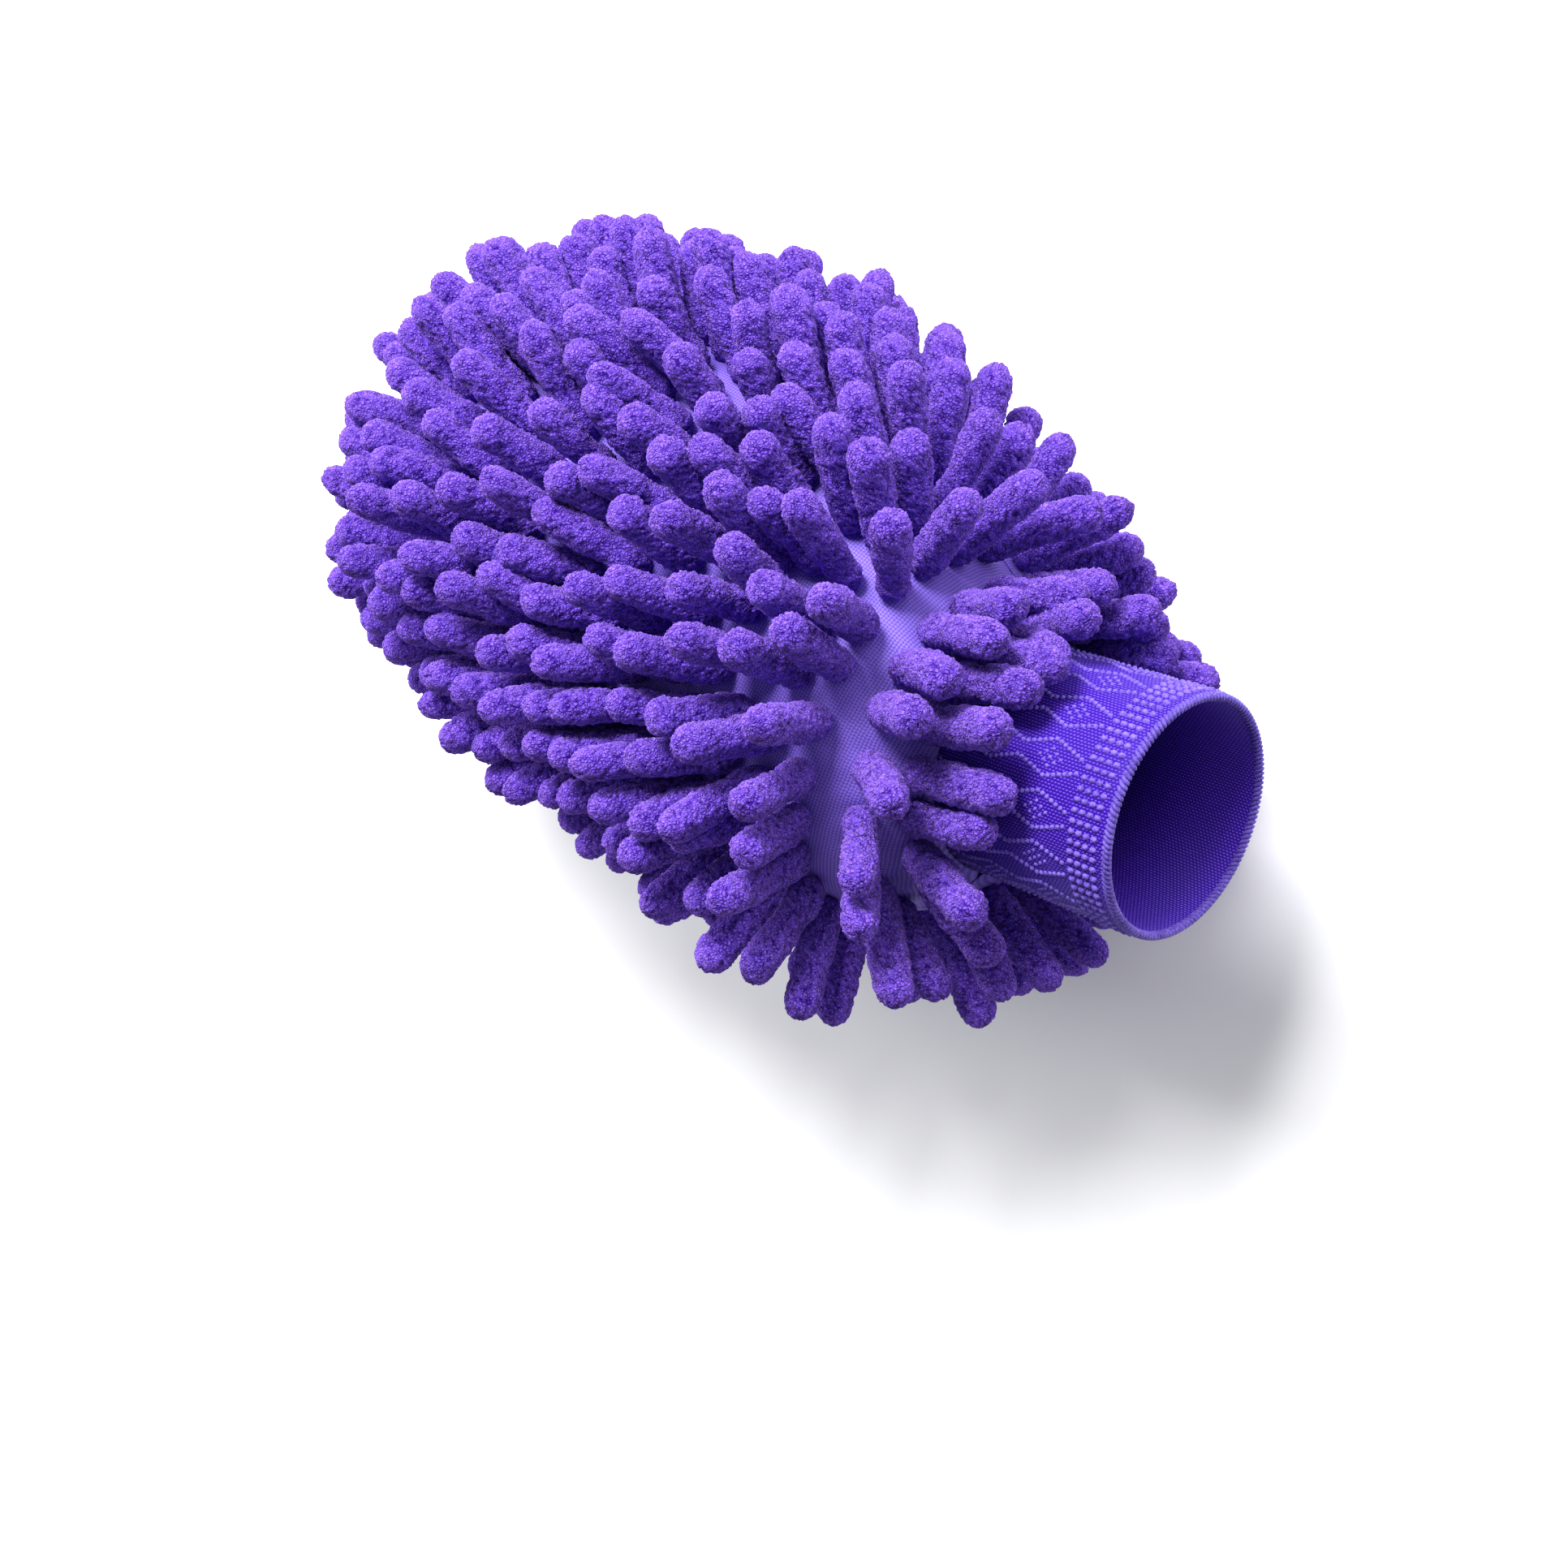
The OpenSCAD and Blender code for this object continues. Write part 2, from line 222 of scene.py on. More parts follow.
class Finish:
    """A material in the making, with its Principled shader."""

    def __init__(self, name, **constants):
        self.material = bpy.data.materials.new(name)
        self.material.use_nodes = True
        self.tree = self.material.node_tree
        self.tree.nodes.clear()
        self.shader = self.tree.nodes.new("ShaderNodeBsdfPrincipled")
        output = self.tree.nodes.new("ShaderNodeOutputMaterial")
        self.tree.links.new(self.shader.outputs["BSDF"], output.inputs["Surface"])
        for socket, value in constants.items():
            self.shader.inputs[socket.replace("_", " ")].default_value = value

    def node(self, kind, settings=None, sockets=None):
        """Adds a node: its settings first, then the values or links of its sockets."""
        made = self.tree.nodes.new(kind)
        for name, value in (settings or {}).items():
            setattr(made, name, value)
        for name, value in (sockets or {}).items():
            if isinstance(value, Value):
                self.tree.links.new(value.socket, made.inputs[name])
            else:
                made.inputs[name].default_value = value
        return [Value(self, socket) for socket in made.outputs]

    def texture(self, kind, settings, sockets, output):
        """The named output of a texture node."""
        return next(v for v in self.node(kind, settings, sockets) if v.socket.name == output)

    def place(self):
        """The piece's own coordinates, in metres."""
        return self.texture("ShaderNodeTexCoord", {}, {}, "Object")

    def mix(self, factor, low, high):
        """A colour between two."""
        outputs = self.node("ShaderNodeMix", {"data_type": "RGBA"}, {0: factor, 6: low, 7: high})
        return outputs[2]

    def noise(self, place, scale, detail=2.0, output="Fac"):
        return self.texture(
            "ShaderNodeTexNoise", {}, {"Vector": place, "Scale": scale, "Detail": detail}, output)

    def colour(self, value):
        self.tree.links.new(value.socket, self.shader.inputs["Base Color"])

    def roughness(self, value):
        self.tree.links.new(value.socket, self.shader.inputs["Roughness"])

    def bump(self, height, distance, strength):
        normal = self.node(
            "ShaderNodeBump", {}, {"Height": height, "Distance": distance, "Strength": strength})[0]
        self.tree.links.new(normal.socket, self.shader.inputs["Normal"])


def opaque(colour):
    return (*colour, 1.0)


def blend(low, high, share):
    """A colour between two, for settings that don't vary over a surface."""
    return tuple(a + (b - a) * share for a, b in zip(low, high))


# ---- Materials -------------------------------------------------------------------------------

def chenille_finish(name, settings):
    """Microfibre pile: worm-like clumps, pale at their tips with painted light, and with painted shade
    between them.
    """
    f = Finish(name, Roughness=0.95, Sheen_Weight=0.38, Sheen_Roughness=0.3,
               Sheen_Tint=(0.72, 0.42, 1.0, 1.0), Specular_IOR_Level=0.06)
    place = f.place()
    drift = f.noise(place, 1 / (1.3 * MM), 1.0, "Color")
    wander = f.node("ShaderNodeVectorMath", {"operation": "MULTIPLY_ADD"},
                    {0: drift, 1: (0.8 * MM,) * 3, 2: place})[0]
    edge = f.texture("ShaderNodeTexVoronoi", {"feature": "DISTANCE_TO_EDGE"},
                     {"Vector": wander, "Scale": 1 / (0.8 * MM), "Randomness": 1.0}, "Distance")
    fine = f.noise(place, 1 / (0.35 * MM), 2.0)
    clump = edge.ramp(0.0, 0.30)
    pile = f.texture("ShaderNodeAttribute", {"attribute_name": "pile"}, {}, "Fac")
    broad = f.noise(place, 1 / (7 * MM), 2.0)
    # Painted shade and light: the tone drops towards the clumps' cracks and the tufts' low points, and
    # rises on the raised tips that the bump also lifts. The broad noise adds a random tone.
    tone = clump * 0.38 + fine * 0.46 + pile * 0.48 + (broad - 0.5) * 0.25
    middle = opaque(blend(settings.gap_shade_and_tone, settings.tip, 0.52))
    low = f.mix(tone.ramp(0.23, 0.72), opaque(settings.gap_shade_and_tone), middle)
    f.colour(f.mix(tone.ramp(0.58, 1.02), low, opaque(settings.tip)))
    f.bump(clump * 0.6 + fine * 0.6, 0.6 * MM, 1.0)
    return f.material


def knit_finish(name, settings):
    """Fine warp-knitted base cloth: rows of tiny loops, with a soft shine."""
    f = Finish(name, Roughness=0.5, Sheen_Weight=0.25, Sheen_Roughness=0.35,
               Sheen_Tint=(0.7, 0.5, 1.0, 1.0), Specular_IOR_Level=0.25)
    across, along, _ = f.node("ShaderNodeSeparateXYZ", {},
                              {0: f.node("ShaderNodeUVMap", {"uv_map": "cloth"})[0]})
    turn = 2 * math.pi
    pitch = 0.8 * MM
    loops = (along * (turn / pitch)).wave() * 0.5 + 0.5
    wales = (across * (turn / pitch) + (along * (turn / pitch / 2)).wave() * 0.8).wave() * 0.5 + 0.5
    knit = loops * 0.55 + wales * 0.45
    place = f.place()
    broad = f.noise(place, 1 / (14 * MM), 3.0)
    shadow = opaque(blend((0.05, 0.02, 0.28), settings.base, 0.35))
    light = opaque(blend(settings.base, (0.50, 0.36, 1.0), 0.18))
    f.colour(f.mix((knit * 0.9 + broad * 0.4).ramp(0.15, 1.05), shadow, light))
    f.roughness(0.62 - knit * 0.2)
    f.bump(knit + broad * 1.5, 0.14 * MM, 0.7)
    return f.material


def webbing_finish(name, settings):
    """Jacquard ground: a dusky violet ground crossed by short slanting floats of thread."""
    f = Finish(name, Roughness=0.6, Sheen_Weight=0.05, Sheen_Roughness=0.4, Specular_IOR_Level=0.15)
    around, along, _ = f.node("ShaderNodeSeparateXYZ", {},
                              {0: f.node("ShaderNodeUVMap", {"uv_map": "web"})[0]})
    rows = around / (0.72 * MM)
    row = rows.floor()
    run = along / (0.95 * MM) + row * 0.5 + rows.fraction() * 0.4
    float_along = ((run.fraction() - 0.5).size() * -1).ramp(-0.36, -0.24)
    float_across = ((rows.fraction() - 0.5).size() * -1).ramp(-0.30, -0.14)
    thread = float_along * float_across
    grain = f.noise(f.place(), 1 / (0.7 * MM), 2.0)
    light = opaque(blend(settings.ground, settings.bead, 0.95))
    f.colour(f.mix(thread * (grain * 0.7 + 0.35), opaque(settings.ground), light))
    f.bump(thread + grain * 0.3, 0.22 * MM, 0.9)
    return f.material


def thread_finish(name, colour, pitch=0.45 * MM):
    """Spun thread: fine strands that run unevenly, with painted light on top of the lay and painted shade
    between the strands.
    """
    f = Finish(name, Roughness=0.55, Sheen_Weight=0.12, Sheen_Roughness=0.35,
               Sheen_Tint=(0.7, 0.5, 1.0, 1.0), Specular_IOR_Level=0.2)
    place = f.place()
    strands = f.noise(place, 1 / pitch, 3.0)
    broad = f.noise(place, 1 / (6 * MM), 2.0)
    # Painted shade between the strands and painted light on their tops, following the same strands that the
    # bump raises, over a broad random tone.
    strand_shade = opaque(blend((0.0, 0.0, 0.03), colour, 0.35))
    light = opaque(blend(colour, (0.75, 0.68, 1.0), 0.10))
    f.colour(f.mix((strands * 0.9 + broad * 0.4).ramp(0.35, 0.95), strand_shade, light))
    f.bump(strands, 0.12 * MM, 0.8)
    return f.material


# ---- Shapes that several pieces share --------------------------------------------------------

def positions(mesh):
    """A mesh's points as an array."""
    flat = np.empty(len(mesh.vertices) * 3)
    mesh.vertices.foreach_get("co", flat)
    return flat.reshape(-1, 3)


def corner_points(mesh):
    """The number of the point at each corner of a mesh's faces."""
    numbers = np.empty(len(mesh.loops), dtype=int)
    mesh.loops.foreach_get("vertex_index", numbers)
    return numbers


def set_positions(mesh, points):
    """Moves a mesh's points to an array's places."""
    mesh.vertices.foreach_set("co", np.asarray(points, dtype=float).ravel())
    mesh.update()


def add_object(name, mesh, material=None):
    """A smooth-shaded object in the scene."""
    obj = bpy.data.objects.new(name, mesh)
    bpy.context.scene.collection.objects.link(obj)
    if material:
        mesh.materials.append(material)
    mesh.shade_smooth()
    return obj


def finish_piece(obj, slot, *nodes):
    """The piece rides on the mitt's one body and stands for its CAD nodes."""
    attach(obj, "root")
    if nodes:
        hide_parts(*nodes)


def mesh_from(name, bm, outward=True):
    """A mesh from a bmesh, which is freed, with its faces turned outwards unless they already are."""
    if outward:
        bmesh.ops.recalc_face_normals(bm, faces=bm.faces)
    mesh = bpy.data.meshes.new(name)
    bm.to_mesh(mesh)
    bm.free()
    return mesh


def repeated(name, template, copies):
    """One mesh that holds a template once for each array of point positions."""
    bm = bmesh.new()
    for _ in copies:
        bm.from_mesh(template)
    mesh = bpy.data.meshes.new(name)
    bm.to_mesh(mesh)
    bm.free()
    set_positions(mesh, np.concatenate(copies))
    return mesh


def merged_copy(node):
    """A CAD node's triangles as a new bmesh, joined where they meet."""
    bm = bmesh.new()
    bm.from_mesh(NODES[node].data)
    bmesh.ops.remove_doubles(bm, verts=bm.verts, dist=0.005 * MM)
    return bm


def islands(bm):
    """The separate solids of a mesh, each as an array of its points."""
    left = dict.fromkeys(bm.verts)
    found = []
    while left:
        ahead = [left.popitem()[0]]
        island = []
        while ahead:
            vert = ahead.pop()
            island.append(tuple(vert.co))
            for edge in vert.link_edges:
                other = edge.other_vert(vert)
                if other in left:
                    del left[other]
                    ahead.append(other)
        found.append(np.array(island))
    return found


def unit(v):
    return v / np.linalg.norm(v)


def ball(around, along):
    """A unit ball's mesh."""
    bm = bmesh.new()
    bmesh.ops.create_uvsphere(bm, u_segments=around, v_segments=along, radius=1)
    return mesh_from("ball", bm)


# ---- The mitt's frame, from the wrist opening ------------------------------------------------

CUFF_GAP = 0.4 * MM  # left between a tuft and the webbing
CUFF_TUCK = 6 * MM  # the cuff's inner end, which the cloth covers


class Cuff:
    """Coordinates of the cuff: its axis leads out of the mouth, and depth is measured in from there."""

    def __init__(self):
        self.axis = unit(np.array(WRIST["axis"]))
        ring = positions(NODES["cuff_band"].data)
        reach = (ring - np.array(WRIST["pos_m"])) @ self.axis
        self.mouth = np.array(WRIST["pos_m"]) + self.axis * reach.max()
        self.length = reach.max() - reach.min()
        self.outer = np.linalg.norm(
            (ring - self.mouth) - np.outer((ring - self.mouth) @ self.axis, self.axis), axis=1).max()
        self.side = unit(np.cross(self.axis, (0, 0, 1)))
        self.up = np.cross(self.side, self.axis)

    def at(self, angle, depth, radius):
        """Points at an angle round the cuff, a depth in from its mouth and a radius."""
        angle, depth, radius = np.broadcast_arrays(angle, depth, radius)
        return (self.mouth - np.multiply.outer(depth, self.axis)
                + np.multiply.outer(radius * np.cos(angle), self.side)
                + np.multiply.outer(radius * np.sin(angle), self.up))

    def clear(self, points):
        """Points moved out of the cuff where they would sink into it."""
        reach = (points - self.mouth) @ -self.axis
        across = points - self.mouth + np.outer(reach, self.axis)
        far = np.linalg.norm(across, axis=1)
        least = self.outer + CUFF_GAP
        sunk = (far < least) & (reach > 0) & (reach < self.length - CUFF_TUCK)
        points[sunk] += across[sunk] * (least / far[sunk] - 1)[:, None]
        return points

    def axes(self, angle):
        """The directions around, inwards from the mouth, and out of the webbing, at an angle."""
        out = self.side * math.cos(angle) + self.up * math.sin(angle)
        around = self.up * math.cos(angle) - self.side * math.sin(angle)
        return around, -self.axis, out


CUFF = Cuff()


# ---- Chenille tufts --------------------------------------------------------------------------

FLOOR_GAP = 0.5 * MM  # tufts start to flatten this far above the floor
FLOOR_SOFTNESS = 1.5 * MM
DRIFT_SIZE = 24 * MM  # how far apart tufts are that lean different ways


def tuft_ends(row, cloth):
    """Where each tuft of a CAD row is rooted and where its tip is, in order round the mitt."""
    ends = []
    pegs = merged_copy(row)
    for points in islands(pegs):
        middle = points.mean(axis=0)
        axis = np.linalg.svd(points - middle, full_matrices=False)[2][0]
        reach = (points - middle) @ axis
        pair = [middle + axis * reach.min(), middle + axis * reach.max()]
        pair.sort(key=lambda p: cloth.find_nearest(Vector(p))[3])
        ends.append(pair)
    pegs.free()
    centre = np.mean([root for root, _ in ends], axis=0)
    ends.sort(key=lambda pair: math.atan2(pair[0][2] - centre[2], pair[0][0] - centre[0]))
    return ends


def capsule_point(polar, length, radius):
    """Radius and height of a point at a share of the way from the tip to the root of a tuft."""
    dome = radius * math.pi / 2
    s = polar * (2 * dome + length - 2 * radius)
    if s < dome:
        return radius * math.sin(s / radius), length - radius + radius * math.cos(s / radius)
    s -= dome
    if s < length - 2 * radius:
        return radius, length - radius - s
    s -= length - 2 * radius
    return radius * math.cos(s / radius), radius - radius * math.sin(s / radius)


def lumpy_tuft(template, length, settings, rng):
    """Points of one straight tuft along +Z from its root, and how high its pile stands at each."""
    seed = Vector([rng.uniform(-50, 50) for _ in range(3)])
    waist = rng.uniform(0.25, 0.7)
    waist_depth = rng.choice((0.0, 0.05, 0.10, 0.16))
    swell = rng.uniform(-0.04, 0.08)
    root_share, waist_share = 0.3, 0.12  # lengths of the narrow root and the waist
    broad_size, clump_size = 4.5, 1.0  # of the swellings and the clumps, in millimetres
    points, pile = [], []
    for x, y, z in template:
        polar = math.acos(max(-1.0, min(1.0, z))) / math.pi
        angle = math.atan2(y, x)
        radius, height = capsule_point(polar, length, settings.radius)
        share = height / length
        out_of_root = min(1.0, share / root_share)
        radius *= (0.80 + 0.20 * out_of_root ** 0.6) * (1.02 - 0.09 * share)
        radius *= 1 + swell * share - waist_depth * math.exp(-((share - waist) / waist_share) ** 2)
        place = Vector((radius * math.cos(angle), radius * math.sin(angle), height)) / MM
        broad = noise.noise(place / broad_size + seed)
        clumps = noise.noise(place / clump_size + seed)
        loose = rng.uniform(-1, 1)
        rise = settings.clump * (1.7 * broad + 1.0 * clumps + 1.7 * loose)
        normal = Vector((math.cos(angle) * math.sin(polar * math.pi),
                         math.sin(angle) * math.sin(polar * math.pi), math.cos(polar * math.pi)))
        if share < 1 - settings.radius / length:
            normal = Vector((math.cos(angle), math.sin(angle), 0))
        points.append(place * MM + normal * rise)
        # The pile value rises with the same clumps and jitter that raise the surface. It gives painted
        # light on the high points and painted shade on the low ones.
        pile.append(0.5 + 0.4 * clumps + 0.5 * loose)
    return np.array(points), np.array(pile)


def bent_tuft(points, root, tip, bow, stretch):
    """A straight tuft laid from root to tip, bowed sideways, and flat where it meets the floor."""
    axis = unit(tip - root)
    side = unit(np.cross(axis, (0.31, 0.2, 0.93)))
    other = np.cross(axis, side)
    share = points[:, 2] / points[:, 2].max()
    bend = np.multiply.outer(share * share, bow)
    tangent = axis + np.multiply.outer(2 * share / np.linalg.norm(tip - root), bow)
    tangent /= np.linalg.norm(tangent, axis=1)[:, None]
    placed = root + np.multiply.outer(points[:, 2] * stretch, axis) + bend
    for component, direction in ((points[:, 0], side), (points[:, 1], other)):
        square = direction - tangent * (tangent @ direction)[:, None]
        square /= np.linalg.norm(square, axis=1)[:, None]
        placed += square * component[:, None]
    low = placed[:, 2] < FLOOR_GAP
    placed[low, 2] = FLOOR_GAP * np.exp((placed[low, 2] - FLOOR_GAP) / FLOOR_SOFTNESS)
    return CUFF.clear(placed)


def drift_at(point):
    """A direction that changes slowly over the mitt and is the same in each run."""
    place = Vector(point) / DRIFT_SIZE
    return np.array([noise.noise(place + Vector((apart, 0, 0))) for apart in (0, 17, 41)])


def varied_tuft(kinds, root, tip, settings, rng):
    """A tuft of a random kind, turned, bowed and leaned at random from its place in the CAD row."""
    points, pile = kinds[rng.randrange(len(kinds))]
    turn = rng.uniform(0, 2 * math.pi)
    wide = rng.uniform(0.95, 1.05)
    spun = points @ np.array(Matrix.Rotation(turn, 3, "Z")).T * (wide, wide, 1)
    axis = unit(tip - root)
    side = unit(np.cross(axis, (0.2, 0.3, 0.9)))
    other = np.cross(axis, side)
    heading = rng.uniform(0, 2 * math.pi)
    bow = side * math.cos(heading) + other * math.sin(heading)
    bow = bow * rng.uniform(0.0, 1.0) * settings.curve
    stretch = 1 + rng.uniform(-1.2, 0.8) * settings.vary
    lean = (side * rng.uniform(-1, 1) + other * rng.uniform(-1, 1)) * settings.lean
    lean += drift_at(root) * settings.drift
    return bent_tuft(spun, root, tip + lean, bow, stretch), pile


class MITT_OT_chenille_rows(Operator):
    """Replace each row of plain pegs with lumpy, bowed chenille tufts"""
    bl_idname = "mitt.chenille_rows"
    bl_label = "Chenille Rows"

    def execute(self, context):
        settings = context.scene.mitt_tufts
        finish = chenille_finish("chenille", settings)
        template = ball(settings.around, settings.along)
        ball_points = positions(template)
        cloth = bmesh.new()
        for node in CLOTH_NODES:
            cloth.from_mesh(NODES[node].data)
        surface = BVHTree.FromBMesh(cloth)
        cloth.free()
        rows = {row: tuft_ends(row, surface) for row in ROW_NODES}
        length = np.median([np.linalg.norm(tip - root) for ends in rows.values() for root, tip in ends])
        rng = random.Random(7)
        kinds = [lumpy_tuft(ball_points, length, settings, rng) for _ in range(settings.kinds)]
        for row, ends in rows.items():
            rng = random.Random(row)
            tufts = [varied_tuft(kinds, root, tip, settings, rng) for root, tip in ends]
            mesh = repeated(row + "_pile", template, [points for points, _ in tufts])
            pile = np.concatenate([pile for _, pile in tufts])
            # The pile attribute carries the lumps' height to the chenille finish, which turns it into
            # painted shade and painted light.
            mesh.attributes.new("pile", "FLOAT", "POINT").data.foreach_set("value", pile)
            finish_piece(add_object(row + "_pile", mesh, finish), "chenille", row)
        return {"FINISHED"}


# ---- Cloth panels ----------------------------------------------------------------------------

class MITT_OT_cloth_panels(Operator):
    """Round the two cloth panels, with gathers at the neck"""
    bl_idname = "mitt.cloth_panels"
    bl_label = "Cloth Panels"

    def execute(self, context):
        settings = context.scene.mitt_cloth
        finish = knit_finish("base_cloth", settings)
        for node in CLOTH_NODES:
            bm = merged_copy(node)
            bmesh.ops.join_triangles(bm, faces=bm.faces, angle_face_threshold=math.pi,
                                     angle_shape_threshold=math.pi)
            coarse = add_object(node + "_coarse", mesh_from(node + "_coarse", bm, outward=False))
            rounding = coarse.modifiers.new("rounding", "SUBSURF")
            rounding.levels = rounding.render_levels = 2
            mesh = bpy.data.meshes.new_from_object(
                coarse.evaluated_get(context.evaluated_depsgraph_get()))
            bpy.data.objects.remove(coarse)
            points = positions(mesh)
            normals = np.empty(len(points) * 3)
            mesh.vertex_normals.foreach_get("vector", normals)
            normals = normals.reshape(-1, 3)
            reach = (points - CUFF.mouth) @ -CUFF.axis - CUFF.length
            flat = (points - CUFF.mouth) @ np.stack([CUFF.side, CUFF.up]).T
            angle = np.arctan2(flat[:, 1], flat[:, 0])
            gather = np.exp(-np.clip(reach, 0, None) / settings.pleat_reach)
            gather *= np.sin(angle * settings.pleats) * np.clip(reach / settings.pleat_start, 0, 1)
            points = points + normals * (gather * settings.pleat)[:, None]
            set_positions(mesh, points)
            lo, hi = (np.array(corner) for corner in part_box(node))
            middle = (lo[0] + hi[0]) / 2
            level = hi[2] if node == "palm_cloth" else lo[2]
            turns = np.arctan2(points[:, 2] - level, points[:, 0] - middle)
            uv = np.stack([turns * settings.girth_radius, points[:, 1]], axis=1)[corner_points(mesh)]
            mesh.uv_layers.new(name="cloth").data.foreach_set("uv", uv.ravel())
            piece = add_object(node + "_knit", mesh, finish)
            finish_piece(piece, "base_cloth", node)
        return {"FINISHED"}


# ---- Elastic cuff ----------------------------------------------------------------------------

# Length along the cuff, width round it and height of each kind of bead
CHAIN_BEAD = (1.36 * MM, 1.3 * MM, 1.35 * MM)
DOT_BEAD = (1.05 * MM, 1.0 * MM, 1.1 * MM)
BEAD_SINK = 0.15 * MM  # how far a bead's middle lies under the webbing's face


def beads_mesh(name, spots):
    """One mesh of small beads. A spot is angle, depth, length, width and height."""
    template = ball(6, 5)
    unit_points = positions(template)
    copies = []
    for angle, depth, length, width, height in spots:
        around, inward, out = CUFF.axes(angle)
        centre = CUFF.at(angle, depth, CUFF.outer - BEAD_SINK)
        copies.append(centre + unit_points @ np.stack(
            [around * width / 2, inward * length / 2, out * height / 2]))
    return repeated(name, template, copies)


def zigzag(depth, half, swing):
    """How far a chain strays from its middle at a depth: straight runs to and fro."""
    return swing * (0.5 - abs(1 - depth / half % 2))


def pattern_spots(settings, field):
    """Chains that run to and fro in pairs, and the dotted diamonds that each pair holds."""
    period = 2 * math.pi * CUFF.outer / settings.repeats
    half, swing = 7.7 * MM, 2.6 * MM
    pitch = 1.4 * MM
    dot_width = 0.95 * MM
    start = settings.border + 1.2 * MM
    step = pitch / math.hypot(1, swing / half)
    spots = []
    for k in range(settings.repeats):
        for i in range(int(field / step)):
            stray = zigzag(i * step, half, swing)
            for place in (k * period - stray, (k + 0.5) * period + stray):
                spots.append((place / CUFF.outer, start + i * step, *CHAIN_BEAD))
        for j in range(int(field / (2 * half)) + 1):
            for a in (-1, 0, 1):
                for b in (-1, 0, 1):
                    depth = (2 * j + 1) * half + (a + b) * pitch
                    place = (k + 0.25) * period + (a - b) * dot_width
                    if depth < field:
                        spots.append((place / CUFF.outer, start + depth, *DOT_BEAD))
    return spots


def border_spots(settings):
    """Columns of larger beads between the main field and the whipped edge."""
    columns = 4
    count = round(2 * math.pi * CUFF.outer / (2.3 * MM))
    pitch = (settings.border - 1.6 * MM) / columns
    bead = (pitch * 0.98, 1.5 * MM, 1.7 * MM)
    return [(2 * math.pi * (k + 0.5) / count, 1.5 * MM + pitch * (c + 0.5), *bead)
            for k in range(count) for c in range(columns)]


def webbing_uv(mesh):
    """Gives a mesh the way round the cuff and the depth from its mouth, in metres."""
    points = positions(mesh)
    depth = (points - CUFF.mouth) @ -CUFF.axis
    flat = (points - CUFF.mouth) @ np.stack([CUFF.side, CUFF.up]).T
    corners = corner_points(mesh)
    angle = np.arctan2(flat[:, 1], flat[:, 0])[corners]
    for face in mesh.polygons:
        part = angle[face.loop_start:face.loop_start + face.loop_total]
        if part.max() - part.min() > math.pi:
            part[part < 0] += 2 * math.pi
    uv = np.stack([angle * CUFF.outer, depth[corners]], axis=1)
    mesh.uv_layers.new(name="web").data.foreach_set("uv", uv.ravel())


class MITT_OT_cuff_band(Operator):
    """Weave the elastic cuff: its webbing and the raised beads of its pattern"""
    bl_idname = "mitt.cuff_band"
    bl_label = "Elastic Cuff"

    def execute(self, context):
        settings = context.scene.mitt_cuff
        inner = CUFF.outer - settings.wall
        turned, lowered, steps = 0.5 * MM, 0.4 * MM, 24
        run = CUFF.length - turned
        profile = [(0.0, CUFF.outer - lowered), (turned, CUFF.outer)]
        profile += [(turned + run * i / steps, CUFF.outer) for i in range(1, steps + 1)]
        profile += [(CUFF.length, inner), (0.0, inner)]
        bm = bmesh.new()
        verts = [bm.verts.new(CUFF.at(0.0, depth, radius)) for depth, radius in profile]
        edges = [bm.edges.new((a, b)) for a, b in zip(verts, verts[1:] + verts[:1])]
        bmesh.ops.spin(bm, geom=verts + edges, cent=Vector(CUFF.mouth), axis=Vector(CUFF.axis),
                       angle=2 * math.pi, steps=180, use_merge=True, use_duplicate=False)
        mesh = mesh_from("cuff_webbing", bm)
        webbing_uv(mesh)
        webbing = add_object("cuff_webbing", mesh, webbing_finish("cuff_webbing", settings))
        finish_piece(webbing, "cuff_webbing", "cuff_band")
        thread = thread_finish("cuff_beads", settings.bead)
        field = CUFF.length - settings.border - 3 * MM
        for name, spots in (("cuff_pattern_beads", pattern_spots(settings, field)),
                            ("cuff_border_beads", border_spots(settings))):
            finish_piece(add_object(name, beads_mesh(name, spots), thread), "cuff_webbing")
        return {"FINISHED"}


class MITT_OT_cuff_edge(Operator):
    """Whip the cuff's rim with slanting stitches"""
    bl_idname = "mitt.cuff_edge"
    bl_label = "Whipped Edge"

    def execute(self, context):
        settings = context.scene.mitt_cuff
        stitch = ball(8, 8)
        unit_points = positions(stitch)
        pitch = 1.15 * MM
        half_length, half_width, overhang = 1.5 * MM, 0.62 * MM, 0.25 * MM
        beyond_rim = 0.35 * MM
        slant = math.radians(38)
        ring = CUFF.outer - settings.wall / 2
        count = round(2 * math.pi * ring / pitch)
        copies = []
        for k in range(count):
            angle = 2 * math.pi * k / count
            around, inward, out = CUFF.axes(angle)
            long_axis = inward * math.cos(slant) + around * math.sin(slant)
            wide_axis = around * math.cos(slant) - inward * math.sin(slant)
            centre = CUFF.at(angle, -beyond_rim, ring)
            copies.append(centre + unit_points @ np.stack(
                [wide_axis * half_width, long_axis * half_length, out * (settings.wall / 2 + overhang)]))
        mesh = repeated("cuff_edge_stitches", stitch, copies)
        edge = add_object("cuff_edge_stitches", mesh,
                          thread_finish("cuff_edge", blend(settings.ground, settings.bead, 0.5)))
        finish_piece(edge, "cuff_edge", "cuff_edge_stitching")
        return {"FINISHED"}


# ---- Inner seams and loose threads -----------------------------------------------------------

def dress(node, finish):
    """Gives a CAD node that stays in view its material."""
    NODES[node].data.materials.clear()
    NODES[node].data.materials.append(finish)


